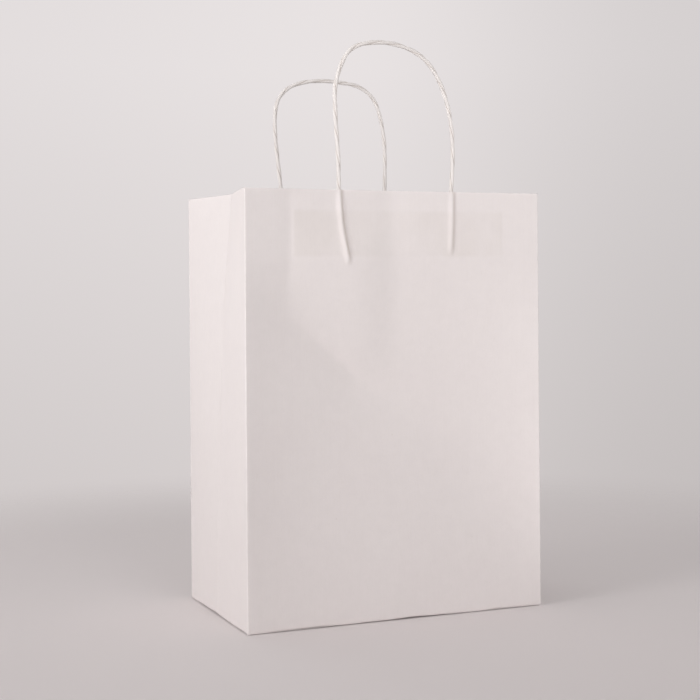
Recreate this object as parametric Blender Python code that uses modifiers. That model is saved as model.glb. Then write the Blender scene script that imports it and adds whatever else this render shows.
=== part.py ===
"""Paper gift bag with two twisted-cord handles.

The bag is one sheet of paper. Its vertical creases part it into a front panel, a back panel and two
gussets, and each gusset has a middle crease, along which it folds inwards when the bag is put away
flat. Under them the sheet closes into a base of two side tucks and two glued flaps. Each handle is a
cord whose ends are glued to a panel between two patch strips.

Metres, +Z up. The front panel faces -Y, +X is to its right as seen from the front, and the origin lies
under the middle of the base. Each crease between two leaves is a hinge, and an empty stands on it.
"""

import math

import bpy
from mathutils import Matrix, Vector

# The bag
BAG_WIDTH = 0.200
BAG_DEPTH = 0.118
BAG_HEIGHT = 0.267
PAPER = 0.00018

# The base and the side seam
FLAP_LAP = 0.020
FLAP_STEP_RUN = 0.0015
SEAM_WIDTH = 0.018
SEAM_INSET = 0.005

# The cords and the patch strips that hold their ends
CORD_DIAMETER = 0.0029
PATCH_WIDTH = 0.144
PATCH_HEIGHT = 0.030
PATCH_DROP = 0.012
PATCH_SHIFT = 0.0025
CORD_TAIL = 0.001

# Clearances
CREASE_GAP = 0.0003
GLUE_LINE = 0.00005
CORD_SEAT = 0.0001
LOOP_RISE = 0.0005
LEG_DROP = 0.0021

# Each handle: the cord's outline above the mouth as (x, height), and where its two ends lie, in metres.
HANDLES = {
    "front": {
        "outline": (
            (-0.0380, 0.0),
            (-0.0384, 0.020),
            (-0.0404, 0.048),
            (-0.0396, 0.067),
            (-0.0300, 0.0862),
            (-0.0105, 0.0917),
            (0.0090, 0.0888),
            (0.0230, 0.0802),
            (0.0330, 0.0638),
            (0.0385, 0.0430),
            (0.0400, 0.0220),
            (0.0388, 0.0),
        ),
        "ends": (-0.0330, 0.0373),
    },
    "rear": {
        "outline": (
            (-0.0338, 0.0),
            (-0.0366, 0.024),
            (-0.0388, 0.049),
            (-0.0375, 0.066),
            (-0.0315, 0.0755),
            (-0.0215, 0.081),
            (-0.0070, 0.0836),
            (0.0090, 0.0833),
            (0.0240, 0.0808),
            (0.0353, 0.0722),
            (0.0410, 0.056),
            (0.0434, 0.036),
            (0.0428, 0.0),
        ),
        "ends": (-0.0338, 0.0424),
    },
}

# Fineness
STEPS_PER_SPAN = 3
CORD_BEVEL_RESOLUTION = 2
LEG_STEPS = 6
RIDGE_HALF_ANGLE = math.radians(60)
RIDGE_SPANS = 4

# Sizes that follow from the ones above
HALF_WIDTH = BAG_WIDTH / 2
HALF_DEPTH = BAG_DEPTH / 2
CORD_RADIUS = CORD_DIAMETER / 2
LEG_LENGTH = PATCH_DROP + PATCH_HEIGHT + CORD_TAIL
LAYER = PAPER + GLUE_LINE
TUCK_BOTTOM = 2 * LAYER
WALL_BOTTOM = TUCK_BOTTOM + PAPER + CREASE_GAP
CORD_OFFSET = GLUE_LINE + PAPER + CORD_SEAT + CORD_RADIUS

# Each finish: its colour and its roughness.
WHITE_KRAFT = ((0.80, 0.77, 0.755), 0.78)
PATCH_KRAFT = ((0.78, 0.75, 0.73), 0.82)
PAPER_CORD = ((0.80, 0.765, 0.74), 0.70)


def clear_scene():
    for obj in list(bpy.data.objects):
        bpy.data.objects.remove(obj, do_unlink=True)


def make_collection(name):
    collection = bpy.data.collections.new(name)
    bpy.context.scene.collection.children.link(collection)
    return collection


def material_for(node, look):
    """A sub-part's own material, with the colour and roughness of its finish."""
    colour, roughness = look
    material = bpy.data.materials.new(node)
    material.use_nodes = True
    shader = material.node_tree.nodes["Principled BSDF"]
    shader.inputs["Base Color"].default_value = (*colour, 1)
    shader.inputs["Roughness"].default_value = roughness
    shader.inputs["Metallic"].default_value = 0
    material.diffuse_color = (*colour, 1)
    return material


def world_location(obj):
    """Where an unturned object stands, with its unturned parents."""
    place = Vector(obj.location)
    while obj.parent:
        obj = obj.parent
        place += obj.location
    return place


def add_crease(name, location, parent=None):
    """An empty on the axis of a crease. The leaf beyond the crease hangs on it."""
    empty = bpy.data.objects.new(name, None)
    empty.empty_display_size = BAG_DEPTH / 10
    start = world_location(parent) if parent else Vector()
    empty.parent = parent
    empty.location = Vector(location) - start
    bag.objects.link(empty)
    return empty


def finish_piece(obj, name, look, crease):
    """Names the piece, gives it its material, and puts it in the bag under the crease that moves it."""
    obj.name = name
    obj.data.name = name
    obj.data.materials.clear()
    obj.data.materials.append(material_for(name, look))
    for collection in list(obj.users_collection):
        collection.objects.unlink(obj)
    bag.objects.link(obj)
    if crease:
        obj.parent = crease
        obj.data.transform(Matrix.Translation(-world_location(crease)))
        obj.location = (0, 0, 0)
    return obj


def add_leaf(name, low, high, look, crease=None):
    """A flat leaf that fills the box between its lowest and highest corners."""
    low, high = Vector(low), Vector(high)
    bpy.ops.mesh.primitive_cube_add(size=1)
    obj = bpy.context.active_object
    size = Matrix.Diagonal((*(high - low), 1))
    obj.data.transform(Matrix.Translation((low + high) / 2) @ size)
    return finish_piece(obj, name, look, crease)


def add_outline(name, outline, bottom, look):
    """A horizontal leaf of paper with the given outline, its underside at the given height."""
    curve = bpy.data.curves.new(name, "CURVE")
    curve.dimensions = "2D"
    curve.fill_mode = "BOTH"
    curve.extrude = PAPER / 2
    spline = curve.splines.new("POLY")
    spline.points.add(len(outline) - 1)
    for point, (x, y) in zip(spline.points, outline):
        point.co = (x, y, 0, 1)
    spline.use_cyclic_u = True
    obj = bpy.data.objects.new(name, curve)
    obj.location = (0, 0, bottom + PAPER / 2)
    bpy.context.scene.collection.objects.link(obj)
    return finish_piece(obj, name, look, None)


def add_sheet(name, rows, look, flip, crease=None):
    """A bent leaf: an open surface through the rows of points, thickened to one side."""
    columns = len(rows[0])
    points = [point for row in rows for point in row]
    faces = []
    for row in range(len(rows) - 1):
        for column in range(columns - 1):
            first = row * columns + column
            faces.append((first, first + 1, first + columns + 1, first + columns))
    mesh = bpy.data.meshes.new(name)
    mesh.from_pydata(points, [], faces)
    mesh.update()
    obj = bpy.data.objects.new(name, mesh)
    bpy.context.scene.collection.objects.link(obj)
    thick = obj.modifiers.new("paper_thickness", "SOLIDIFY")
    thick.thickness = PAPER
    thick.offset = -1 if flip else 1
    thick.use_even_offset = True
    return finish_piece(obj, name, look, crease)


def add_cord(name, points, look, crease=None):
    """A round cord along a list of points, with closed ends."""
    curve = bpy.data.curves.new(name, "CURVE")
    curve.dimensions = "3D"
    curve.bevel_depth = CORD_RADIUS
    curve.bevel_resolution = CORD_BEVEL_RESOLUTION
    curve.use_fill_caps = True
    spline = curve.splines.new("POLY")
    spline.points.add(len(points) - 1)
    for point, place in zip(spline.points, points):
        point.co = (*place, 1)
    obj = bpy.data.objects.new(name, curve)
    bpy.context.scene.collection.objects.link(obj)
    return finish_piece(obj, name, look, crease)


def smooth_through(points, steps):
    """Points on a smooth curve through the given ones, with this many steps from each to the next."""
    ends = [2 * points[0] - points[1], *points, 2 * points[-1] - points[-2]]
    smooth = []
    for before, start, end, after in zip(ends, ends[1:], ends[2:], ends[3:]):
        for step in range(steps):
            t = step / steps
            pull = (end - before) * t + (2 * before - 5 * start + 4 * end - after) * t**2
            pull += (3 * start - 3 * end + after - before) * t**3
            smooth.append(start + pull / 2)
    smooth.append(points[-1])
    return smooth


def side_sign(side):
    return {"left": -1, "right": 1}[side]


def face_sign(face):
    """-1 for the front of the bag and 1 for the rear."""
    return {"front": -1, "rear": 1}[face]


def add_gusset(side):
    """A gusset's two leaves. The rear one hinges on the back panel, and the front one on the rear one."""
    sign = side_sign(side)
    end = HALF_DEPTH - PAPER - CREASE_GAP
    inner, outer = sign * (HALF_WIDTH - PAPER), sign * HALF_WIDTH
    low_x, high_x = min(inner, outer), max(inner, outer)
    rear_crease = add_crease(f"{side}_rear_crease", (inner, end, 0))
    middle = sign * (HALF_WIDTH + CREASE_GAP / 2)
    middle_crease = add_crease(f"{side}_middle_crease", (middle, 0, 0), rear_crease)
    gap = CREASE_GAP / 2
    spans = (("rear", gap, end, rear_crease), ("front", -end, -gap, middle_crease))
    for half, low_y, high_y, crease in spans:
        low = (low_x, low_y, WALL_BOTTOM)
        high = (high_x, high_y, BAG_HEIGHT)
        add_leaf(f"{side}_gusset_{half}", low, high, WHITE_KRAFT, crease)
    return rear_crease, middle_crease


def add_panel(face, crease):
    """The front or the back panel, the whole width of the bag."""
    outer = face_sign(face) * HALF_DEPTH
    inner = face_sign(face) * (HALF_DEPTH - PAPER)
    low = (-HALF_WIDTH, min(inner, outer), WALL_BOTTOM)
    high = (HALF_WIDTH, max(inner, outer), BAG_HEIGHT)
    name = "front_panel" if face == "front" else "back_panel"
    add_leaf(name, low, high, WHITE_KRAFT, crease)


def add_side_seam(crease):
    """The glued lap that closes the tube, inside the right gusset's rear leaf."""
    start = HALF_DEPTH - PAPER - SEAM_INSET
    outer = HALF_WIDTH - PAPER - GLUE_LINE
    low = (outer - PAPER, start - SEAM_WIDTH, WALL_BOTTOM)
    high = (outer, start, BAG_HEIGHT)
    add_leaf("side_seam_lap", low, high, WHITE_KRAFT, crease)


def add_base():
    """Two flaps that meet in a glued lap across the middle, and over them a tuck from each side."""
    reach = HALF_DEPTH + FLAP_LAP / 2
    narrow = HALF_WIDTH - reach
    rear_flap = (
        (-HALF_WIDTH, HALF_DEPTH),
        (-narrow, -FLAP_LAP / 2),
        (narrow, -FLAP_LAP / 2),
        (HALF_WIDTH, HALF_DEPTH),
    )
    add_outline("base_rear_flap", rear_flap, 0, WHITE_KRAFT)
    step_end = -FLAP_LAP / 2 - CREASE_GAP
    profile = (
        (-HALF_DEPTH, 0),
        (step_end - FLAP_STEP_RUN, 0),
        (step_end, LAYER),
        (FLAP_LAP / 2, LAYER),
    )
    front_flap = []
    for y, z in profile:
        half = HALF_WIDTH - (y + HALF_DEPTH)
        front_flap.append([(-half, y, z), (half, y, z)])
    add_sheet("base_front_flap", front_flap, WHITE_KRAFT, flip=False)
    for side in ("left", "right"):
        edges = sorted((side_sign(side) * HALF_WIDTH, side_sign(side) * (HALF_WIDTH - reach)))
        low = (edges[0], -HALF_DEPTH, TUCK_BOTTOM)
        high = (edges[1], HALF_DEPTH, TUCK_BOTTOM + PAPER)
        add_leaf(f"base_{side}_tuck", low, high, WHITE_KRAFT)


def leg_course(foot, end):
    """Where a glued-in cord end runs, as (x, drop below the mouth). It leans more the further down it is."""
    drops = [LEG_DROP + (LEG_LENGTH - LEG_DROP) * step / LEG_STEPS for step in range(LEG_STEPS + 1)]
    return [(foot + (end - foot) * (drop / LEG_LENGTH) ** 2, drop) for drop in drops]


def leg_x(course, drop):
    """The cord's x at a drop below the mouth, on the straight stretch that it lies in."""
    for (x, start), (next_x, end) in zip(course, course[1:]):
        if drop <= end:
            break
    return x + (next_x - x) * (drop - start) / (end - start)


def ridge_section():
    """Half of the inner strip's rise over a cord, from its crown down to its foot, as (sideways, height).

    The crown is an arc round the cord and the rest a straight slope that leaves it at a tangent.
    """
    step = RIDGE_HALF_ANGLE / RIDGE_SPANS
    radius = (CORD_RADIUS + CORD_SEAT) / math.cos(step / 2)
    centre = CORD_SEAT + CORD_RADIUS
    angles = [step * count for count in range(RIDGE_SPANS + 1)]
    section = [(radius * math.sin(angle), centre + radius * math.cos(angle)) for angle in angles]
    sideways, height = section[-1]
    foot = sideways + (height - GLUE_LINE) / math.tan(RIDGE_HALF_ANGLE)
    return [*section, (foot, GLUE_LINE)]


def add_inner_strip(face, courses, crease):
    """The patch strip glued over both cord ends, with a ridge along each of them."""
    half = ridge_section()
    section = [(-sideways, height) for sideways, height in reversed(half[1:])] + half
    bends = {drop for _, drop in courses[0] if PATCH_DROP < drop < PATCH_DROP + PATCH_HEIGHT}
    drops = sorted({PATCH_DROP, PATCH_DROP + PATCH_HEIGHT, *bends})
    ground = HALF_DEPTH - 2 * PAPER - GLUE_LINE
    rows = []
    for drop in drops:
        line = [(PATCH_SHIFT - PATCH_WIDTH / 2, GLUE_LINE)]
        for course in courses:
            line += [(leg_x(course, drop) + sideways, height) for sideways, height in section]
        line.append((PATCH_SHIFT + PATCH_WIDTH / 2, GLUE_LINE))
        z = BAG_HEIGHT - drop
        rows.append([(x, face_sign(face) * (ground - height), z) for x, height in line])
    add_sheet(f"{face}_inner_patch", rows, PATCH_KRAFT, face == "rear", crease)


def add_outer_strip(face, crease):
    """The flat patch strip between a panel and its cord ends."""
    outer = face_sign(face) * (HALF_DEPTH - PAPER - GLUE_LINE)
    inner = outer - face_sign(face) * PAPER
    top = BAG_HEIGHT - PATCH_DROP
    low = (PATCH_SHIFT - PATCH_WIDTH / 2, min(inner, outer), top - PATCH_HEIGHT)
    high = (PATCH_SHIFT + PATCH_WIDTH / 2, max(inner, outer), top)
    add_leaf(f"{face}_outer_patch", low, high, PATCH_KRAFT, crease)


def add_handle(face, panel_crease):
    """A panel's patch strips, the cord ends between them, and the cord's loop on its hinge at the mouth."""
    handle = HANDLES[face]
    sign = face_sign(face)
    cord_y = sign * (HALF_DEPTH - PAPER - CORD_OFFSET)
    feet = (handle["outline"][0][0], handle["outline"][-1][0])
    courses = [leg_course(foot, end) for foot, end in zip(feet, handle["ends"])]
    add_outer_strip(face, panel_crease)
    add_inner_strip(face, courses, panel_crease)
    for side, course in zip(("left", "right"), courses):
        points = [(x, cord_y, BAG_HEIGHT - drop) for x, drop in course]
        add_cord(f"{face}_cord_{side}_end", points, PAPER_CORD, panel_crease)
    hinge_y = sign * (HALF_DEPTH - PAPER / 2)
    hinge = add_crease(f"{face}_handle_hinge", (0, hinge_y, BAG_HEIGHT), panel_crease)
    outline = [Vector((x, cord_y, BAG_HEIGHT + height)) for x, height in handle["outline"]]
    outline[0].z += LOOP_RISE
    outline[-1].z += LOOP_RISE
    add_cord(f"{face}_handle_cord", smooth_through(outline, STEPS_PER_SPAN), PAPER_CORD, hinge)


clear_scene()
bag = make_collection("paper_gift_bag")
left_rear, left_middle = add_gusset("left")
right_rear, right_middle = add_gusset("right")
front_corner = (HALF_WIDTH - PAPER, -HALF_DEPTH + PAPER + CREASE_GAP, 0)
front_crease = add_crease("right_front_crease", front_corner, right_middle)
add_panel("rear", None)
add_panel("front", front_crease)
add_side_seam(right_rear)
add_base()
add_handle("rear", None)
add_handle("front", front_crease)
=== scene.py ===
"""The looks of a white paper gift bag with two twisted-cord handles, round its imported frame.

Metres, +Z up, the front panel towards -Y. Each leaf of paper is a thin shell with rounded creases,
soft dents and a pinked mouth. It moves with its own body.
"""

import math

import bpy
import numpy as np
from mathutils import Matrix, Vector, noise


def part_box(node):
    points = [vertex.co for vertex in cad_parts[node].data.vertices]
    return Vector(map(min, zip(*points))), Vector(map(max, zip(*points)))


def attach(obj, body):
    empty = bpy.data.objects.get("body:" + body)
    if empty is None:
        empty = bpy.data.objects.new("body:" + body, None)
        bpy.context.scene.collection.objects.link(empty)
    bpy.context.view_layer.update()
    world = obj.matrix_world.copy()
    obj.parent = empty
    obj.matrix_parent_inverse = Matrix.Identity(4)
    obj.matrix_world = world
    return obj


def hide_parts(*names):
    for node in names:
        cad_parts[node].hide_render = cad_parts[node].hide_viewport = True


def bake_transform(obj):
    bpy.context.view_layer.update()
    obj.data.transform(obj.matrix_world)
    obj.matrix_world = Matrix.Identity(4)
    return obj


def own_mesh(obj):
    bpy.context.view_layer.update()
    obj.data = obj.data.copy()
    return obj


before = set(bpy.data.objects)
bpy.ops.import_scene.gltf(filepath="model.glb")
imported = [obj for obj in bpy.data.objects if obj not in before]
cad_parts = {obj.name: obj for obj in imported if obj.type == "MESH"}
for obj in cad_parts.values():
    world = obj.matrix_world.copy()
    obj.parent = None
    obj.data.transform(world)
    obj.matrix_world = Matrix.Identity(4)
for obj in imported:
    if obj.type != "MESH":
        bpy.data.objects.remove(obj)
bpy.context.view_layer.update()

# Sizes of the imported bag
FRONT_LOW, FRONT_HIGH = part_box("front_panel")
HALF_W = FRONT_HIGH.x
HALF_D = -FRONT_LOW.y
TOP = FRONT_HIGH.z
PAPER = FRONT_HIGH.y - FRONT_LOW.y
CORD_LOW, CORD_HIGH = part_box("front_handle_cord")
CORD_RADIUS = (CORD_HIGH.y - CORD_LOW.y) / 2
CORD_INSET = HALF_D + (CORD_LOW.y + CORD_HIGH.y) / 2
PATCH_LOW, PATCH_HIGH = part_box("front_outer_patch")
PATCH_INSET = HALF_D + PATCH_LOW.y
SEAM_LOW, SEAM_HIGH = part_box("side_seam_lap")

# The cords' routes: the loop above the mouth as (x, height), then where each end lies
CORD_ENDS_DEPTH = 0.043
LEG_DROP = 0.0021
ROUTES = {
    "front": (
        (
            (-0.0380, 0.0),
            (-0.0384, 0.020),
            (-0.0404, 0.048),
            (-0.0396, 0.067),
            (-0.0300, 0.0862),
            (-0.0105, 0.0917),
            (0.0090, 0.0888),
            (0.0230, 0.0802),
            (0.0330, 0.0638),
            (0.0385, 0.0430),
            (0.0400, 0.0220),
            (0.0388, 0.0),
        ),
        (-0.0330, 0.0373),
    ),
    "rear": (
        (
            (-0.0338, 0.0),
            (-0.0366, 0.024),
            (-0.0388, 0.049),
            (-0.0375, 0.066),
            (-0.0315, 0.0755),
            (-0.0215, 0.081),
            (-0.0070, 0.0836),
            (0.0090, 0.0833),
            (0.0240, 0.0808),
            (0.0353, 0.0722),
            (0.0410, 0.056),
            (0.0434, 0.036),
            (0.0428, 0.0),
        ),
        (-0.0338, 0.0424),
    ),
}

# Twist of the cords
TWIST_PITCH = 0.030
TWIST_WANDER = 0.9
WANDER_RATE = 60
STRANDS = 2
GROOVE = 0.36
GROOVE_POWER = 0.55
# Reach of the shade painted into the hollows between the strands
GROOVE_SHADE_REACH = 0.42
STRAND_WRAPS = 5
WRAP_DEPTH = 0.015
WRAP_LENGTH = 0.0125
ROUGH_DEPTH = 0.022
ROUGH_RATE = 240
CORD_STEP = 0.0006
CORD_SIDES = 40

# Meshes of the walls
FINE_STEP = 0.0008
FINE_ROW = 0.0012
COARSE_EVERY = 3
COARSE_ROW = 0.003
FINE_FROM = TOP - 0.048

# Paper shapes
CREASE_RADIUS = 0.0006
FOOT_RADIUS = 0.0014
EDGE_LIFT = 0.012
TOOTH_DEPTH = 0.00055
GUSSET_PUSH = {"left": 0.0108, "right": 0.0096}
FACET_DEPTH = 0.0016
CORNER_GROOVE = 0.00028
CORNER_GROOVE_IN = 0.0028
LEG_LENGTHS = (0.0465, 0.041)
RIDGE_HEIGHTS = (0.0013, 0.000806)
RIDGE_WIDTH = 0.0021
# Painted shade beside each cord end's ridge: its strength on each side, its offset along x, and its width
LEG_SHADE_STRENGTHS = (1.0, 0.75)
LEG_SHADE_OFFSET = 0.0012
LEG_SHADE_WIDTH = 0.0010
PATCH_STEP = 0.00014
PATCH_BORDER = 0.0016
# Border of the painted shade where the patch strips lie behind the paper
PATCH_SHADE_BORDER = 0.0022

# How the panels sink in between their creases
BOW = {"front": 0.0036, "rear": 0.0030}
MOUTH_BOW = {"front": 0.0015, "rear": 0.0003}
EDGE_SHARE = 0.06
HOLD = PATCH_LOW.z
BEND = {"front": 0.140, "rear": 0.070}
DIAGONALS = {  # the slanting line that each one bends along, as (x, height, softness)
    "front": (
        (-0.100, 0.209, 0.012),
        (-0.062, 0.183, 0.003),
        (-0.028, 0.154, 0.0025),
        (0.020, 0.125, 0.012),
        (0.100, 0.071, 0.024),
    ),
    "rear": ((-0.100, 0.084, 0.016), (0.010, 0.120, 0.010), (0.100, 0.172, 0.012)),
}

# The front panel's slanting fold, as (x, height, softness, depth), and the upright one beside it
FRONT_FOLD = (
    (-0.100, 0.212, 0.006, 0.0008),
    (-0.073, 0.190, 0.0016, 0.0027),
    (-0.028, 0.154, 0.0012, 0.0030),
    (0.010, 0.131, 0.006, 0.0014),
    (0.060, 0.099, 0.014, 0.0009),
    (0.100, 0.071, 0.016, 0.0),
)
FOLD_SLANT = 0.76
FOLD_REACH = 0.018
UPRIGHT_X = -0.071
UPRIGHT_SOFT = 0.002
UPRIGHT_REACH = 0.012
UPRIGHT_DEPTH = 0.0019
BULGE_HEIGHT = 0.0017


def smooth(t):
    t = np.clip(t, 0.0, 1.0)
    return t * t * (3 - 2 * t)


def bell(distance, width):
    return np.exp(-((distance / width) ** 2))


def tent(x, z, knots, slope, high):
    """A sheet bent along a slanting line. It is 0 at the foot, and from the height `high` up."""
    xs, heights, widths = zip(*knots)
    line = np.interp(x, xs, heights)
    soft = np.interp(x, xs, widths)

    def bent(level):
        s = level - line
        return -slope * (np.sqrt(s * s + soft * soft) + s) / 2

    share = np.clip(z / high, 0, 1)
    return bent(np.minimum(z, high)) - bent(high) * share - bent(0.0) * (1 - share)


def face_sign(face):
    return {"front": -1, "rear": 1}[face]


def leg_x(face, side, drop):
    """The x of a cord end at a drop below the mouth."""
    outline, ends = ROUTES[face]
    foot = outline[0 if side == 0 else -1][0]
    return foot + (ends[side] - foot) * (np.clip(drop, 0, CORD_ENDS_DEPTH) / CORD_ENDS_DEPTH) ** 2


def leg_ridges(face, x, z):
    """How far the paper stands proud over the two cord ends."""
    drop = TOP - z
    total = np.zeros_like(x)
    for side, (height, length) in enumerate(zip(RIDGE_HEIGHTS, LEG_LENGTHS)):
        along = 1 - smooth((drop - length + 0.006) / 0.007)
        along = along * (0.35 + 0.65 * smooth(drop / 0.009))
        across = x - leg_x(face, side, drop)
        width = np.where(across < 0, RIDGE_WIDTH, RIDGE_WIDTH * 0.6)
        total += height * (bell(across, width) - 0.3 * bell(across - 0.0026, 0.0014)) * along
    return total


def painted_leg_shade(face, x, z):
    """1 in the narrow band right of each cord end, where shade is painted into the paper's colour."""
    drop = TOP - z
    total = np.zeros_like(x)
    for side, (strength, length) in enumerate(zip(LEG_SHADE_STRENGTHS, LEG_LENGTHS)):
        along = 1 - smooth((drop - length + 0.008) / 0.008)
        fold = bell(x - leg_x(face, side, drop) - LEG_SHADE_OFFSET, LEG_SHADE_WIDTH)
        total += strength * fold * along
    return total


def inside_patch(x, z, soft):
    """1 where the patch strips lie behind the paper, with a soft border."""
    across = smooth((x - PATCH_LOW.x) / soft) * smooth((PATCH_HIGH.x - x) / soft)
    return across * smooth((z - PATCH_LOW.z) / soft) * smooth((PATCH_HIGH.z - z) / soft)


def ridge_fold(distance, soft, reach):
    """1 on the line of a fold, falling off on both sides."""
    return np.exp(-(np.sqrt(distance**2 + soft**2) - soft) / reach)


def front_details(x, z, inside):
    """The front panel's own folds, the bulge between them, a valley below the mouth, and dents."""
    xs, heights, softs, depths = zip(*FRONT_FOLD)
    line = np.interp(x, xs, heights)
    depth = np.interp(x, xs, depths)
    slanting = ridge_fold(np.abs(z - line) * FOLD_SLANT, np.interp(x, xs, softs), FOLD_REACH)
    rise = -depth * slanting * inside
    upper = smooth((z - line + 0.004) / 0.03) * smooth((TOP - z) / 0.012 + 0.45)
    upright = ridge_fold(x - UPRIGHT_X, UPRIGHT_SOFT, UPRIGHT_REACH)
    rise -= UPRIGHT_DEPTH * upright * upper * inside
    bulge = smooth((x + 0.072) / 0.046) - smooth((x + 0.026) / 0.034)
    bulge = bulge * smooth((z - line) / 0.012) * (1 - smooth((z - HOLD) / 0.025))
    rise += BULGE_HEIGHT * bulge
    valley = bell(x + 0.004 - 0.04 * (TOP - z), 0.0105)
    rise -= 0.0008 * valley * (1 - smooth((TOP - z - 0.035) / 0.10)) * inside
    hump = bell(x + 0.060 + 0.2 * (z - 0.2), 0.016) * smooth((z - 0.13) / 0.05)
    rise += 0.0007 * hump * inside
    rise -= 0.0008 * bell(np.hypot((x + 0.070) / 1.4, z - 0.085), 0.03) * inside
    rise += 0.0006 * np.sin(31 * x + 19 * z + 0.6) * below_folds(z) * inside
    return rise


def rear_details(x, z, inside):
    """The back panel's valley below the mouth, and its waves."""
    valley = bell(x - 0.012 + 0.05 * (TOP - z), 0.012)
    rise = -0.0007 * valley * (1 - smooth((TOP - z - 0.05) / 0.05)) * inside
    rise += 0.0005 * np.sin(-27 * x + 23 * z) * below_folds(z) * inside
    return rise


def below_folds(z):
    """Where the slow waves are: off the foot, and below the folds."""
    return smooth(z / 0.04) * smooth((0.21 - z) / 0.05)


def panel_rise(face, x, z):
    """How far a panel stands out from its flat place. It sinks in between its creases."""
    share = np.clip(np.abs(x) / HALF_W, 0, 1)
    bow = (1 - share**2) * (1 - EDGE_SHARE) + EDGE_SHARE
    along = smooth(z / 0.08) * (1 - smooth((z - 0.15) / 0.10))
    at_mouth = MOUTH_BOW[face]
    rise = -bow * (at_mouth * smooth(z / 0.1) + (BOW[face] - at_mouth) * along)
    rise -= tent(x, z, DIAGONALS[face], BEND[face], HOLD) * (1 - share**6)
    details = {"front": front_details, "rear": rear_details}[face]
    return rise + details(x, z, 1 - share**4)


def corner_shift(face, side, z):
    """How far a corner crease moves with its panel."""
    x = np.full_like(z, side * HALF_W)
    return panel_rise(face, x, z)


def foot_wave(along, z, half):
    """How far a wall's lower edge is off the floor. It is down at the corners."""
    wave = 0.00058 + 0.00026 * np.sin(83 * along + 0.7) + 0.00012 * np.sin(211 * along)
    return wave * (1 - np.clip(np.abs(along) / half, 0, 1) ** 6) * (1 - smooth(z / 0.02))


def place_panel(face):
    sign = face_sign(face)

    def place(x, depth, z, under):
        out = panel_rise(face, x, z)
        out += leg_ridges(face, x, z)
        out += PATCH_STEP * inside_patch(x, z, PATCH_BORDER)
        if face == "front":
            at_foot = 1 - smooth((z - 0.006) / 0.01)
            out -= CORNER_GROOVE * bell(x + HALF_W - CORNER_GROOVE_IN, 0.0005) * at_foot
        y = sign * (HALF_D + out - depth - under)
        return np.stack([x, y, z + foot_wave(x, z, HALF_W)], -1)

    return place


def gusset_in(side, y, z):
    """How far a gusset is pushed in: a V at the mouth that fades out downwards, less a flat facet
    above a slanting line, and a slow ripple."""
    t = np.abs(y) / HALF_D
    soft = 0.012
    v = 1 - (np.sqrt(t * t + soft * soft) - soft) / (math.sqrt(1 + soft * soft) - soft)
    push = GUSSET_PUSH[side] * np.clip(z / TOP, 0, 1) ** 1.5
    inside = 1 - np.clip(t, 0, 1) ** 4
    line = 0.050 - y if side == "left" else 0.055 + y
    above = z - line
    facet = 0.045 * (np.sqrt(above * above + 0.008**2) + above) / 2
    facet = np.minimum(facet, FACET_DEPTH)
    facet = facet * inside * smooth((TOP - z) / 0.1)
    phase = 0.4 if side == "left" else 2.0
    ripple = 0.0004 * np.sin(37 * z + 50 * y + phase) * inside * smooth(z / 0.05)
    return push * v - 0.8 * facet * smooth(z / 0.03) - ripple


def place_gusset(side):
    sign = {"left": -1, "right": 1}[side]

    def place(y, depth, z, under):
        front = corner_shift("front", sign, z)
        rear = corner_shift("rear", sign, z)
        t = np.clip(np.abs(y) / HALF_D, 0, 1) ** 2
        shift = np.where(y < 0, -front, rear) * t
        x = sign * (HALF_W - gusset_in(side, y, z) - depth - under)
        return np.stack([x, y + shift, z + foot_wave(y, z, HALF_D)], -1)

    return place


def round_end(at, inwards, radius):
    """Columns of a rounded crease up to its middle, as (along, depth)."""
    angles = np.radians((45, 34, 23, 11))
    return [(at + inwards * radius * (1 - math.sin(a)), radius * (1 - math.cos(a))) for a in angles]


def columns_between(low, high, round_low, round_high):
    """Columns across a leaf, as (along, depth, is coarse). A rounded end is half of a crease."""
    start = [(*c, True) for c in round_end(low, 1, CREASE_RADIUS)] if round_low else []
    end = [(*c, True) for c in reversed(round_end(high, -1, CREASE_RADIUS))] if round_high else []
    first = low + CREASE_RADIUS if round_low else low
    last = high - CREASE_RADIUS if round_high else high
    count = COARSE_EVERY * round((last - first) / FINE_STEP / COARSE_EVERY)
    middle = np.linspace(first, last, count + 1)
    return start + [(a, 0.0, k % COARSE_EVERY == 0) for k, a in enumerate(middle)] + end


def wall_rows():
    """Rows up a wall, as (z, how far it has turned under at the foot), and how many are coarse."""
    angles = np.radians((78, 60, 42, 24))
    rows = [(FOOT_RADIUS * (1 - math.sin(a)), FOOT_RADIUS * (1 - math.cos(a))) for a in angles]
    count = round((FINE_FROM - FOOT_RADIUS) / COARSE_ROW)
    rows += [(z, 0.0) for z in np.linspace(FOOT_RADIUS, FINE_FROM, count + 1)]
    coarse = len(rows)
    count = round((TOP - FINE_FROM) / FINE_ROW)
    rows += [(z, 0.0) for z in np.linspace(FINE_FROM, TOP, count + 1)[1:]]
    return rows, coarse


def mesh_piece(name, points, faces, marks=None):
    mesh = bpy.data.meshes.new(name)
    mesh.from_pydata([tuple(p) for p in points], [], faces)
    for key, values in (marks or {}).items():
        layer = mesh.attributes.new(key, "FLOAT", "POINT")
        layer.data.foreach_set("value", np.asarray(values, np.float32))
    mesh.update()
    obj = bpy.data.objects.new(name, mesh)
    bpy.context.scene.collection.objects.link(obj)
    return obj


def shade(obj, degrees):
    obj.data.shade_smooth()
    obj.data.set_sharp_from_angle(angle=math.radians(degrees))


def apply_modifiers(obj):
    graph = bpy.context.evaluated_depsgraph_get()
    made = bpy.data.meshes.new_from_object(obj.evaluated_get(graph), depsgraph=graph)
    obj.modifiers.clear()
    old = obj.data
    obj.data = made
    made.name = obj.name
    bpy.data.meshes.remove(old)


def thicken(obj, thickness):
    """Gives a surface the paper's thickness, away from the side that its faces show."""
    solid = obj.modifiers.new("thickness", "SOLIDIFY")
    solid.thickness = thickness
    solid.offset = -1
    solid.use_even_offset = False
    apply_modifiers(obj)
    shade(obj, 50)


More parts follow.
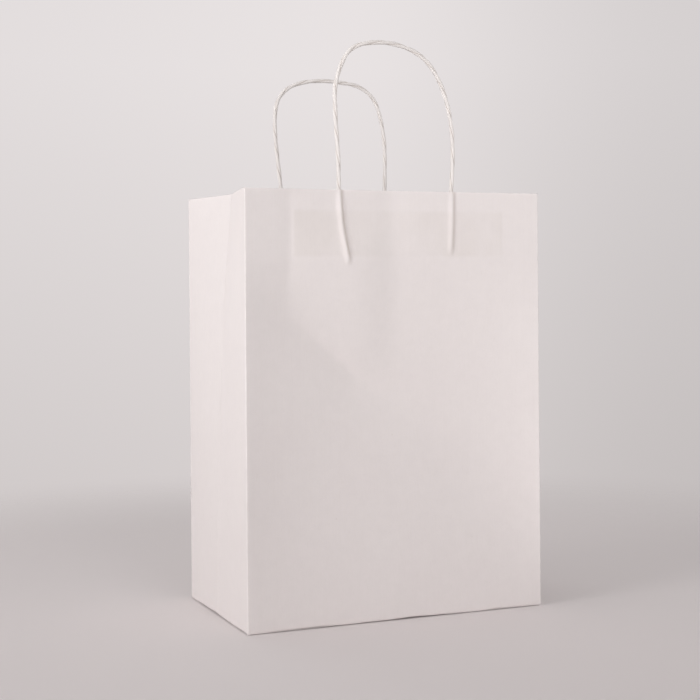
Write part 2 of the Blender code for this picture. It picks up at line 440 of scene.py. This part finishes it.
def orient(points, faces, outward):
    """Turns the faces so that they show outwards."""
    total = np.zeros(3)
    for face in faces[:: max(1, len(faces) // 50)]:
        a, b, c = (points[face[k]] for k in (0, 1, 2))
        total += np.cross(b - a, c - a)
    if total @ np.array(outward) < 0:
        return [tuple(reversed(face)) for face in faces]
    return faces


def wall_leaf(name, place, columns, outward, crease_at):
    """A wall of paper: coarse below, fine at the mouth, where its edge is pinked."""
    rows, coarse_rows = wall_rows()
    along = np.array([c[0] for c in columns])
    depth = np.array([c[1] for c in columns])
    coarse = np.array([k for k, c in enumerate(columns) if c[2]])
    everything = np.arange(len(columns))
    starts, picks, points, wear, patch_shade, faces = [], [], [], [], [], []
    for number, (z, under) in enumerate(rows):
        pick = coarse if number < coarse_rows - 1 else everything
        level = np.full(len(pick), float(z))
        if number == len(rows) - 1:
            level -= TOOTH_DEPTH * (pick % 2)
        starts.append(sum(len(p) for p in picks))
        picks.append(pick)
        points.append(place(along[pick], depth[pick], level, under))
        near = np.zeros(len(pick))
        for crease in crease_at:
            strength = 0.45 if crease == 0 else 1.0
            near = np.maximum(near, strength * bell(along[pick] - crease, CREASE_RADIUS))
        near = np.maximum(near, 0.8 * math.exp(-((z / 0.0015) ** 2)))
        near = np.maximum(near, 0.5 * math.exp(-(((TOP - z) / 0.0012) ** 2)))
        wear.append(near)
        # Where shade of the patch strips behind the paper is painted into its colour
        patch_shade.append(inside_patch(along[pick], level, PATCH_SHADE_BORDER))
    for number in range(len(rows) - 1):
        lower, upper = picks[number], picks[number + 1]
        base, top = starts[number], starts[number + 1]
        where = np.searchsorted(upper, lower)
        for k in range(len(lower) - 1):
            above = [top + j for j in range(where[k], where[k + 1] + 1)]
            faces.append((base + k, base + k + 1, *reversed(above)))
    points = np.concatenate(points)
    faces = orient(points, faces, outward)
    marks = {"wear": np.concatenate(wear), "patch_shade": np.concatenate(patch_shade)}
    obj = mesh_piece(name, points, faces, marks)
    thicken(obj, PAPER)
    return obj


def mark_vertices(obj, key, value):
    points = np.zeros(3 * len(obj.data.vertices), np.float32)
    obj.data.vertices.foreach_get("co", points)
    layer = obj.data.attributes.get(key) or obj.data.attributes.new(key, "FLOAT", "POINT")
    layer.data.foreach_set("value", np.asarray(value(points.reshape(-1, 3)), np.float32))


def grid_piece(name, rows, outward, thickness, marks=None):
    """A leaf through equal rows of points."""
    rows = np.asarray(rows, float)
    count, width = rows.shape[:2]
    faces = []
    for r in range(count - 1):
        for c in range(width - 1):
            first = r * width + c
            faces.append((first, first + 1, first + width + 1, first + width))
    points = rows.reshape(-1, 3)
    obj = mesh_piece(name, points, orient(points, faces, outward), marks)
    thicken(obj, thickness)
    return obj


def spread(low, high, step):
    return np.linspace(low, high, max(2, round(abs(high - low) / step) + 1))


# ---------------------------------------------------------------- materials


class Nodes:
    """Short calls for a material's node tree."""

    def __init__(self, name):
        self.material = bpy.data.materials.new(name)
        self.material.use_nodes = True
        self.tree = self.material.node_tree
        self.shader = self.tree.nodes["Principled BSDF"]

    def add(self, kind, **settings):
        node = self.tree.nodes.new(kind)
        for key, value in settings.items():
            setattr(node, key, value)
        return node

    def link(self, out, into):
        self.tree.links.new(out, into)

    def object_coords(self):
        return self.add("ShaderNodeTexCoord").outputs["Object"]

    def stretched(self, coords, scale, turn=(0, 0, 0)):
        node = self.add("ShaderNodeMapping")
        node.inputs["Scale"].default_value = scale
        node.inputs["Rotation"].default_value = turn
        self.link(coords, node.inputs["Vector"])
        return node.outputs["Vector"]

    def noise(self, coords, scale, detail=3.0, roughness=0.5, distortion=0.0):
        node = self.add("ShaderNodeTexNoise")
        node.inputs["Scale"].default_value = scale
        node.inputs["Detail"].default_value = detail
        node.inputs["Roughness"].default_value = roughness
        node.inputs["Distortion"].default_value = distortion
        self.link(coords, node.inputs["Vector"])
        return node.outputs["Fac"]

    def ranged(self, value, low, high, to_low=0.0, to_high=1.0, smoothly=False):
        node = self.add("ShaderNodeMapRange")
        if smoothly:
            node.interpolation_type = "SMOOTHSTEP"
        limits = {"From Min": low, "From Max": high, "To Min": to_low, "To Max": to_high}
        for key, number in limits.items():
            node.inputs[key].default_value = number
        self.link(value, node.inputs["Value"])
        return node.outputs["Result"]

    def math(self, operation, a, b):
        node = self.add("ShaderNodeMath", operation=operation)
        for socket, value in zip(node.inputs, (a, b)):
            if isinstance(value, (int, float)):
                socket.default_value = value
            else:
                self.link(value, socket)
        return node.outputs[0]

    def mix(self, share, a, b, how="MIX"):
        node = self.add("ShaderNodeMix", data_type="RGBA", blend_type=how)
        for key, value in (("Factor", share), ("A", a), ("B", b)):
            socket = [s for s in node.inputs if s.name == key and s.type in ("VALUE", "RGBA") and s.enabled]
            socket = socket[0] if key == "Factor" else [s for s in socket if s.type == "RGBA"][0]
            if isinstance(value, (int, float)):
                socket.default_value = value
            elif isinstance(value, tuple):
                socket.default_value = (*value, 1)
            else:
                self.link(value, socket)
        return [s for s in node.outputs if s.type == "RGBA" and s.enabled][0]

    def bump(self, height, distance, strength=1.0, under=None):
        node = self.add("ShaderNodeBump")
        node.inputs["Distance"].default_value = distance
        node.inputs["Strength"].default_value = strength
        self.link(height, node.inputs["Height"])
        if under is not None:
            self.link(under, node.inputs["Normal"])
        return node.outputs["Normal"]

    def mark(self, name):
        return self.add("ShaderNodeAttribute", attribute_name=name).outputs["Fac"]

    def put(self, **values):
        for key, value in values.items():
            socket = self.shader.inputs[key.replace("_", " ")]
            if isinstance(value, (int, float)):
                socket.default_value = value
            else:
                self.link(value, socket)


def tinted(colour, factor):
    return tuple(c * factor for c in colour)


def kraft(name, colour, rough, seed, marks=True):
    """Uncoated kraft paper: cloudy fibres that run up the sheet, a few specks, and worn creases."""
    n = Nodes(name)
    coords = n.object_coords()
    shifted = n.stretched(coords, (1, 1, 1))
    shifted.node.inputs["Location"].default_value = (seed, seed * 0.7, seed * 0.3)
    cloud = n.noise(shifted, 150, 4, 0.6)
    patches = n.noise(shifted, 22, 2, 0.5)
    fibres = n.noise(n.stretched(shifted, (1, 1, 0.16)), 1900, 4, 0.65, 0.4)
    cross = n.noise(n.stretched(shifted, (0.3, 0.3, 1), (0.5, 0.4, 0.9)), 1500, 3, 0.6, 0.8)
    streaks = n.noise(n.stretched(shifted, (1, 1, 0.02)), 620, 3, 0.6)
    tone = n.mix(n.ranged(cloud, 0.35, 0.65), tinted(colour, 0.988), tinted(colour, 1.006))
    tone = n.mix(n.ranged(patches, 0.3, 0.7), tone, (0.994, 0.990, 0.991), "MULTIPLY")
    tone = n.mix(n.ranged(fibres, 0.52, 0.72, 0, 0.5), tone, (0.955, 0.945, 0.935), "MULTIPLY")
    tone = n.mix(n.ranged(cross, 0.60, 0.72, 0, 0.35), tone, tinted(colour, 1.05))
    tone = n.mix(n.ranged(streaks, 0.4, 0.7, 0, 0.35), tone, (0.975, 0.972, 0.970), "MULTIPLY")
    specks = n.add("ShaderNodeTexVoronoi")
    specks.inputs["Scale"].default_value = 75
    n.link(shifted, specks.inputs["Vector"])
    rare = n.add("ShaderNodeSeparateColor")
    n.link(specks.outputs["Color"], rare.inputs[0])
    few = n.ranged(rare.outputs[0], 0.86, 0.87)
    dot = n.ranged(specks.outputs["Distance"], 0.012, 0.022, 1, 0)
    tone = n.mix(n.math("MULTIPLY", n.math("MULTIPLY", few, dot), 0.5), tone, (0.42, 0.33, 0.25))
    height = n.math("ADD", n.math("MULTIPLY", fibres, 0.6), n.math("MULTIPLY", cross, 0.4))
    if marks:
        # Painted shade where the patch strips lie behind the paper, in soft blotches
        shade_blotches = n.ranged(n.noise(n.stretched(shifted, (1, 1, 0.5)), 45, 2), 0.35, 0.62, 0.25, 0.95)
        patch_shade = n.math("MULTIPLY", n.mark("patch_shade"), shade_blotches)
        tone = n.mix(patch_shade, tone, (0.958, 0.953, 0.940), "MULTIPLY")
        # Painted shade: a dark line along the right flank of each cord end's ridge
        leg_shade = n.math("MULTIPLY", n.mark("leg_shade"), 0.85)
        tone = n.mix(leg_shade, tone, (0.78, 0.74, 0.71), "MULTIPLY")
        worn = n.math("MULTIPLY", n.mark("wear"), n.ranged(cloud, 0.3, 0.6, 0.35, 1.0))
        tone = n.mix(n.math("MULTIPLY", worn, 0.55), tone, tinted(colour, 1.13))
        uneven = n.math("SUBTRACT", cloud, n.math("MULTIPLY", worn, -0.3))
        n.put(Roughness=n.ranged(uneven, 0.3, 0.7, rough - 0.07, rough + 0.06))
    else:
        n.put(Roughness=n.ranged(cloud, 0.3, 0.7, rough - 0.07, rough + 0.06))
    waves = n.bump(patches, 0.0005, 0.4)
    crinkle = n.bump(cloud, 0.00010, 0.8, waves)
    n.put(Base_Color=tone, Normal=n.bump(height, 0.000035, 0.9, crinkle))
    n.put(Specular_IOR_Level=0.32, Sheen_Weight=0.06, Sheen_Roughness=0.6)
    return n.material


def twisted_paper(name, colour):
    """Cord of twisted paper: streaks that follow each strand, and shade painted into the hollows between
    the strands.
    """
    n = Nodes(name)
    uv = n.add("ShaderNodeUVMap", uv_map="along_cord").outputs["UV"]
    streaks = n.noise(n.stretched(uv, (22, 120, 1)), 1.0, 3, 0.5, 0.3)
    folds = n.noise(n.stretched(uv, (9, 260, 1)), 1.0, 2, 0.5, 0.5)
    coords = n.object_coords()
    cloud = n.noise(coords, 260, 3, 0.6)
    fibres = n.noise(coords, 3800, 3, 0.6)
    tone = n.mix(n.ranged(streaks, 0.35, 0.68), tinted(colour, 0.94), tinted(colour, 1.05))
    tone = n.mix(n.ranged(cloud, 0.35, 0.65, 0, 0.5), tone, (0.970, 0.958, 0.945), "MULTIPLY")
    # Painted shade in the hollows between the strands
    tone = n.mix(n.math("MULTIPLY", n.mark("groove_shade"), 0.75), tone, (0.68, 0.635, 0.60), "MULTIPLY")
    height = n.math("ADD", n.math("MULTIPLY", streaks, 0.7), n.math("MULTIPLY", folds, 0.5))
    n.put(Base_Color=tone, Roughness=n.ranged(cloud, 0.3, 0.7, 0.70, 0.84))
    n.put(Normal=n.bump(fibres, 0.000008, 0.4, n.bump(height, 0.00003, 0.5)))
    n.put(Specular_IOR_Level=0.20, Sheen_Weight=0.05, Sheen_Roughness=0.5)
    return n.material


WHITE = (0.805, 0.765, 0.755)
PATCH = (0.775, 0.745, 0.726)
CORD = (0.790, 0.762, 0.742)
kraft_outer = kraft("white_kraft_paper", WHITE, 0.72, 0.0)
kraft_base = kraft("white_kraft_base", WHITE, 0.74, 3.1, marks=False)
kraft_patch = kraft("patch_kraft_paper", PATCH, 0.80, 7.7, marks=False)
cord_look = twisted_paper("twisted_cord_paper", CORD)


def dress(obj, look, body, slot, *nodes, join=True):
    obj.data.materials.clear()
    obj.data.materials.append(look)
    if join:
        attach(obj, body)
    if nodes:
        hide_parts(*nodes)
    return obj


# ---------------------------------------------------------------- camera, stage and light

CAMERA_PLACE = Vector((-0.37337, -0.87516, 0.20424))
CAMERA_YAW = math.radians(22.669)
CAMERA_ROLL = math.radians(-0.46)

camera_data = bpy.data.cameras.new("camera")
camera_data.lens = 74.23
camera_data.sensor_width = 36
camera_data.shift_y = -0.0833
camera = bpy.data.objects.new("camera", camera_data)
bpy.context.scene.collection.objects.link(camera)
forward = Vector((math.sin(CAMERA_YAW), math.cos(CAMERA_YAW), 0))
level = Vector((math.cos(CAMERA_YAW), -math.sin(CAMERA_YAW), 0))
right = level * math.cos(CAMERA_ROLL) + Vector((0, 0, 1)) * math.sin(CAMERA_ROLL)
turned = Matrix((right, -forward.cross(right), -forward)).transposed()
camera.matrix_world = Matrix.Translation(CAMERA_PLACE) @ turned.to_4x4()
bpy.context.scene.camera = camera
bpy.context.scene.view_settings.view_transform = "Standard"


FADE_FROM = 0.32
FADE_TO = 0.72


def ring(radius, z, sides):
    turns = [2 * math.pi * k / sides for k in range(sides)]
    return [(radius * math.cos(turn), radius * math.sin(turn), z) for turn in turns]


def make_floor():
    """A round paper floor that fades out into the backdrop."""
    sides = 128
    rings = (0.0, 0.3, 0.6, 1.0, 1.6)
    points = [(0, 0, 0)]
    faces = []
    for radius in rings[1:]:
        points += ring(radius, 0, sides)
    for k in range(sides):
        faces.append((0, 1 + k, 1 + (k + 1) % sides))
        for step in range(len(rings) - 2):
            a, b = 1 + step * sides, 1 + (step + 1) * sides
            faces.append((a + k, b + k, b + (k + 1) % sides, a + (k + 1) % sides))
    floor = mesh_piece("floor", points, faces)
    n = Nodes("floor_paper")
    coords = n.object_coords()
    length = n.add("ShaderNodeVectorMath", operation="LENGTH")
    n.link(coords, length.inputs[0])
    tone = n.mix(n.noise(coords, 3, 2), (0.805, 0.765, 0.762), (0.820, 0.780, 0.778))
    fade = n.ranged(length.outputs["Value"], FADE_FROM, FADE_TO, 1, 0, True)
    n.put(Base_Color=tone, Roughness=0.9, Alpha=fade)
    n.put(Specular_IOR_Level=0.1)
    floor.data.materials.append(n.material)
    return floor


def make_backdrop():
    """A pale room wall far round the bag. Its glow is painted light: lighter upwards, slightly lighter
    towards +X and then darker further round. It is only seen, and gives no light.
    """
    sides = 96
    radius = 3.2
    levels = (-2.0, -1.0, 0.0, 1.0, 2.0, 4.0)
    points = [point for z in levels for point in ring(radius, z, sides)]
    faces = []
    for step in range(len(levels) - 1):
        a, b = step * sides, (step + 1) * sides
        faces += [(a + k, a + (k + 1) % sides, b + (k + 1) % sides, b + k) for k in range(sides)]
    wall = mesh_piece("backdrop", points, faces)
    n = Nodes("backdrop_painted_light")
    split = n.add("ShaderNodeSeparateXYZ")
    n.link(n.object_coords(), split.inputs[0])
    # Painted light: the glow rises upwards and changes across the wall as light would fall on it
    up = n.ranged(split.outputs["Z"], -0.75, 0.85, 0, 1)
    tone = n.mix(up, (0.590, 0.550, 0.545), (0.765, 0.725, 0.725))
    to_middle = n.ranged(split.outputs["X"], 0.1, 1.3, 1.0, 1.055, True)
    to_right = n.ranged(split.outputs["X"], 1.2, 2.1, 1.0, 0.83, True)
    tone = n.mix(1.0, tone, n.math("MULTIPLY", to_middle, to_right), "MULTIPLY")
    n.shader.inputs["Base Color"].default_value = (0, 0, 0, 1)
    n.put(Specular_IOR_Level=0.0, Emission_Strength=1.0, Emission_Color=tone, Roughness=1.0)
    wall.data.materials.append(n.material)
    for way in ("visible_diffuse", "visible_glossy", "visible_transmission", "visible_shadow"):
        setattr(wall, way, False)
    return wall


LIGHT_COLOUR = (1.0, 0.968, 0.966)


def area_light(name, place, target, size, power, spread=180):
    data = bpy.data.lights.new(name, "AREA")
    data.size = size
    data.energy = power
    data.color = LIGHT_COLOUR
    data.spread = math.radians(spread)
    obj = bpy.data.objects.new(name, data)
    bpy.context.scene.collection.objects.link(obj)
    obj.location = place
    obj.rotation_mode = "QUATERNION"
    obj.rotation_quaternion = (Vector(place) - Vector(target)).to_track_quat("Z", "Y")
    obj.visible_camera = False
    return obj


make_floor()
make_backdrop()
area_light("left_light", (-1.30, -0.30, 0.60), (-0.10, 0, 0.33), 0.8, 0.58, 75)
area_light("low_left_light", (-1.10, -0.28, 0.30), (0.06, -0.06, 0.36), 0.5, 0.74, 60)
area_light("rear_light", (-0.35, 1.05, 0.95), (-0.15, 0.40, 0), 0.8, 0.42, 90)
area_light("front_light", (0.10, -1.30, 0.40), (0.09, -0.06, 0.30), 0.5, 0.40, 40)
world = bpy.data.worlds.new("room")
world.use_nodes = True
world.node_tree.nodes["Background"].inputs["Color"].default_value = (*LIGHT_COLOUR, 1)
world.node_tree.nodes["Background"].inputs["Strength"].default_value = 0.54
bpy.context.scene.world = world

# ---------------------------------------------------------------- walls


# Where shade is painted beside each cord end, on the panel's outer face only
def outer_leg_shade(face, p):
    return painted_leg_shade(face, p[:, 0], p[:, 2]) * (p[:, 1] * face_sign(face) > 0)


for face, name, body, node in (
    ("front", "front_paper", "front_wall", "front_panel"),
    ("rear", "back_paper", "back_and_base", "back_panel"),
):
    sign = face_sign(face)
    columns = columns_between(-HALF_W, HALF_W, True, True)
    panel = wall_leaf(name, place_panel(face), columns, (0, sign, 0), (-HALF_W, HALF_W))
    mark_vertices(panel, "leg_shade", lambda p, face=face: outer_leg_shade(face, p))
    dress(panel, kraft_outer, body, "white_kraft", node)
    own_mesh(panel)

MIDDLE_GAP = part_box("left_gusset_rear")[0].y
for side, sign in (("left", -1), ("right", 1)):
    for half, low, high, low_round, high_round in (
        ("front", -HALF_D, -MIDDLE_GAP / 2, True, False),
        ("rear", MIDDLE_GAP / 2, HALF_D, False, True),
    ):
        columns = columns_between(low, high, low_round, high_round)
        corner = -HALF_D if half == "front" else HALF_D
        leaf = wall_leaf(
            f"{side}_{half}_gusset_paper", place_gusset(side), columns, (sign, 0, 0), (corner, 0.0)
        )
        mark_vertices(leaf, "patch_shade", lambda p: np.zeros(len(p)))
        dress(leaf, kraft_outer, f"{side}_{half}_leaf", "white_kraft", f"{side}_gusset_{half}")
        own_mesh(leaf)

# ---------------------------------------------------------------- side seam

seam_inset = HALF_W - SEAM_HIGH.x
ys = spread(SEAM_LOW.y, SEAM_HIGH.y, 0.0015)
zs = spread(SEAM_LOW.z, TOP - 0.0004, 0.004)
seam_rows = []
for z in zs:
    level_z = np.full_like(ys, z)
    outer = place_gusset("right")(ys, np.full_like(ys, seam_inset), level_z, 0.0)
    outer[:, 2] = z
    seam_rows.append(outer)
seam = grid_piece("side_seam_paper", seam_rows, (1, 0, 0), PAPER)
dress(seam, kraft_base, "right_rear_leaf", "white_kraft", "side_seam_lap")
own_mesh(seam)

# ---------------------------------------------------------------- patch strips

CORD_BULGE = 2 * CORD_RADIUS + 0.00025
CORD_BULGE_WIDTH = 0.0023
WRINKLE = 0.00012
STRIP_GAP = 0.00005

for face, body in (("front", "front_wall"), ("rear", "back_and_base")):
    sign = face_sign(face)
    xs = spread(PATCH_LOW.x, PATCH_HIGH.x, 0.0008)
    outer_rows, inner_rows = [], []
    for z in spread(PATCH_LOW.z, PATCH_HIGH.z, 0.00125):
        level_z = np.full_like(xs, z)
        out = panel_rise(face, xs, level_z)
        outer_rows.append(np.stack([xs, sign * (HALF_D - PATCH_INSET + out), level_z], -1))
        drop = TOP - z
        ridge = sum(
            CORD_BULGE * np.exp(-np.abs((xs - leg_x(face, s, drop)) / CORD_BULGE_WIDTH) ** 2.5)
            for s in (0, 1)
        )
        inset = PATCH_INSET + PAPER + STRIP_GAP + ridge
        wrinkle = WRINKLE * np.sin(900 * xs + 160 * z) * bell(ridge - 0.0012, 0.0009)
        inner_rows.append(np.stack([xs, sign * (HALF_D - inset - wrinkle + out), level_z], -1))
    outer_strip = grid_piece(f"{face}_outer_patch_paper", outer_rows, (0, sign, 0), PAPER)
    dress(outer_strip, kraft_patch, body, "patch_kraft", f"{face}_outer_patch")
    inner_strip = grid_piece(f"{face}_inner_patch_paper", inner_rows, (0, sign, 0), PAPER)
    dress(inner_strip, kraft_patch, body, "patch_kraft", f"{face}_inner_patch")

# ---------------------------------------------------------------- base


FLAP_GAP = 0.0002
TUCK_INSET = 0.0004


def edge_lift(wave, inset):
    """A flap's outer edge follows the wave of the wall's lower edge."""
    return wave * (1 - smooth((inset - FOOT_RADIUS) / EDGE_LIFT))


def base_flap(name, node, ys, heights, half_of):
    rows = []
    for y, z in zip(ys, heights):
        half = half_of(y)
        xs = np.linspace(-half, half, 81)
        lift = edge_lift(foot_wave(xs, 0.0, HALF_W), HALF_D - abs(y))
        rows.append(np.stack([xs, np.full_like(xs, y), z + lift], -1))
    flap = grid_piece(name, rows, (0, 0, -1), PAPER)
    dress(flap, kraft_base, "back_and_base", "white_kraft", node)
    return flap


rear_low, rear_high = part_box("base_rear_flap")
front_low, front_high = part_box("base_front_flap")
rear_ys = spread(rear_low.y, HALF_D - FOOT_RADIUS, 0.003)
rear_flap = base_flap(
    "base_rear_paper",
    "base_rear_flap",
    rear_ys,
    np.zeros_like(rear_ys),
    lambda y: HALF_W - (HALF_D - y) - FLAP_GAP,
)
front_ys = spread(-HALF_D + FOOT_RADIUS, front_high.y, 0.0015)
step_from = rear_low.y - 0.0018
front_zs = (front_high.z - PAPER) * smooth((front_ys - step_from) / 0.0015)
front_flap = base_flap(
    "base_front_paper",
    "base_front_flap",
    front_ys,
    front_zs,
    lambda y: HALF_W - (y + HALF_D) - FLAP_GAP,
)
tucks = []
for side, sign in (("left", -1), ("right", 1)):
    low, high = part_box(f"base_{side}_tuck")
    xs = spread(low.x, high.x, 0.003)
    ys = spread(low.y + TUCK_INSET, high.y - TUCK_INSET, 0.003)
    rows = []
    inner_edge = high.x if side == "left" else low.x
    for y in ys:
        reach = np.abs(xs - inner_edge)
        lift = 0.0006 * (1 - smooth(reach / 0.03)) * (0.6 + 0.4 * math.sin(40 * y + sign))
        edge = edge_lift(foot_wave(y, 0.0, HALF_D), HALF_W - np.abs(xs))
        rows.append(np.stack([xs, np.full_like(xs, y), low.z + lift + edge], -1))
    tuck = grid_piece(f"base_{side}_tuck_paper", rows, (0, 0, -1), PAPER)
    dress(tuck, kraft_base, "back_and_base", "white_kraft", f"base_{side}_tuck")
    tucks.append(tuck)
for piece in (rear_flap, front_flap, *tucks):
    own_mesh(piece)

# ---------------------------------------------------------------- handles


def smooth_through(points, steps):
    """A curve through all the points."""
    ends = [2 * points[0] - points[1], *points, 2 * points[-1] - points[-2]]
    made = []
    for before, start, end, after in zip(ends, ends[1:], ends[2:], ends[3:]):
        for step in range(steps):
            t = step / steps
            pull = (end - before) * t + (2 * before - 5 * start + 4 * end - after) * t**2
            pull += (3 * start - 3 * end + after - before) * t**3
            made.append(start + pull / 2)
    made.append(points[-1])
    return made


def cord_route(face):
    """The whole cord's centreline as (x, z), one end under the patch to the other."""
    outline, _ends = ROUTES[face]
    loop = smooth_through([Vector((x, TOP + h)) for x, h in outline], 16)
    drops = np.linspace(CORD_ENDS_DEPTH, LEG_DROP, 16)
    left = [Vector((float(leg_x(face, 0, d)), TOP - d)) for d in drops]
    right_end = [Vector((float(leg_x(face, 1, d)), TOP - d)) for d in drops[::-1]]
    return np.array([tuple(p) for p in left + loop + right_end])


def resampled(route, step):
    """The route at even steps and softened, with each point's place along it."""
    lengths = np.concatenate([[0], np.cumsum(np.linalg.norm(np.diff(route, axis=0), axis=1))])
    count = round(lengths[-1] / step)
    at = np.linspace(0, lengths[-1], count + 1)
    even = np.stack([np.interp(at, lengths, route[:, k]) for k in range(2)], -1)
    for _ in range(12):
        even[1:-1] = (even[:-2] + 2 * even[1:-1] + even[2:]) / 4
    return even, at


def twisted_cord(face, name):
    """One cord: two strands twisted together, its mesh's columns following the twist."""
    sign = face_sign(face)
    route, at = resampled(cord_route(face), CORD_STEP)
    tangent = np.gradient(route, axis=0)
    tangent /= np.linalg.norm(tangent, axis=1)[:, None]
    normal = np.stack([-tangent[:, 1], tangent[:, 0]], -1)
    local = np.linspace(0, 2 * np.pi, CORD_SIDES, endpoint=False)
    lobe = np.abs(np.cos(local * STRANDS / 2))
    body = (1 - GROOVE) + GROOVE * lobe**GROOVE_POWER
    row = 3.7 if face == "front" else 9.1
    wander = np.array([noise.noise(Vector((s * WANDER_RATE, row, 0))) for s in at])
    twist = 2 * np.pi * at / TWIST_PITCH + TWIST_WANDER * wander
    above_mouth = smooth((route[:, 1] - TOP) / 0.06)
    sunk = panel_rise(face, route[:, 0], np.minimum(route[:, 1], TOP)) * (1 - above_mouth)
    points, groove_shades = [], []
    seed = 0.0 if face == "front" else 5.0
    for k, (x, z) in enumerate(route):
        around = local + twist[k]
        turns = STRAND_WRAPS * (local * STRANDS + 0.5 * np.sin(local))
        wrap = np.sin(turns + 2 * np.pi * at[k] / WRAP_LENGTH)
        level = at[k] * ROUGH_RATE
        spots = [(math.cos(a) * 1.3 + seed, math.sin(a) * 1.3, level) for a in local]
        rough = np.array([noise.noise(Vector(spot)) for spot in spots])
        radius = CORD_RADIUS * (body * (0.975 + WRAP_DEPTH * wrap * lobe) + ROUGH_DEPTH * rough)
        radius = np.minimum(radius, CORD_RADIUS)
        side = radius * np.cos(around)
        out = radius * np.sin(around)
        y = sign * (HALF_D - CORD_INSET + sunk[k]) + out
        points.append(np.stack([x + normal[k, 0] * side, y, z + normal[k, 1] * side], -1))
        # Where shade is painted into the hollows between the strands
        groove_shades.append(1 - smooth(lobe / GROOVE_SHADE_REACH))
    count = len(route)
    verts = np.concatenate(points)
    faces = []
    for r in range(count - 1):
        for c in range(CORD_SIDES):
            d = (c + 1) % CORD_SIDES
            a, b = r * CORD_SIDES, (r + 1) * CORD_SIDES
            faces.append((a + c, a + d, b + d, b + c))
    faces.append(tuple(range(CORD_SIDES)))
    faces.append(tuple(reversed(range((count - 1) * CORD_SIDES, count * CORD_SIDES))))
    first = faces[CORD_SIDES * (count // 2)]
    a, b, c = (verts[first[j]] for j in (0, 1, 2))
    centre = np.array([route[count // 2, 0], sign * (HALF_D - CORD_INSET), route[count // 2, 1]])
    if np.cross(b - a, c - a) @ (a - centre) < 0:
        faces = [tuple(reversed(f)) for f in faces]
    obj = mesh_piece(name, verts, faces, {"groove_shade": np.concatenate(groove_shades)})
    layer = obj.data.uv_layers.new(name="along_cord")
    uv = np.zeros((len(obj.data.loops), 2), np.float32)
    index = np.zeros(len(obj.data.loops), np.int32)
    obj.data.loops.foreach_get("vertex_index", index)
    ring, spot = index // CORD_SIDES, index % CORD_SIDES
    uv[:, 0] = spot / CORD_SIDES
    uv[:, 1] = at[ring]
    starts = np.array([p.loop_start for p in obj.data.polygons])
    totals = np.array([p.loop_total for p in obj.data.polygons])
    for s, t in zip(starts, totals):
        if t == 4 and np.ptp(uv[s : s + 4, 0]) > 0.5:
            low = uv[s : s + 4, 0] < 0.5
            uv[s : s + 4, 0][low] += 1.0
    layer.data.foreach_set("uv", uv.ravel())
    shade(obj, 60)
    return obj


for face, name, wall, handle in (
    ("front", "front_twisted_cord", "front_wall", "front_handle"),
    ("rear", "rear_twisted_cord", "back_and_base", "rear_handle"),
):
    cord = twisted_cord(face, name)
    nodes = (f"{face}_handle_cord", f"{face}_cord_left_end", f"{face}_cord_right_end")
    dress(cord, cord_look, None, "paper_cord", *nodes, join=False)
    y = face_sign(face) * (HALF_D - CORD_INSET)
    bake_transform(cord)
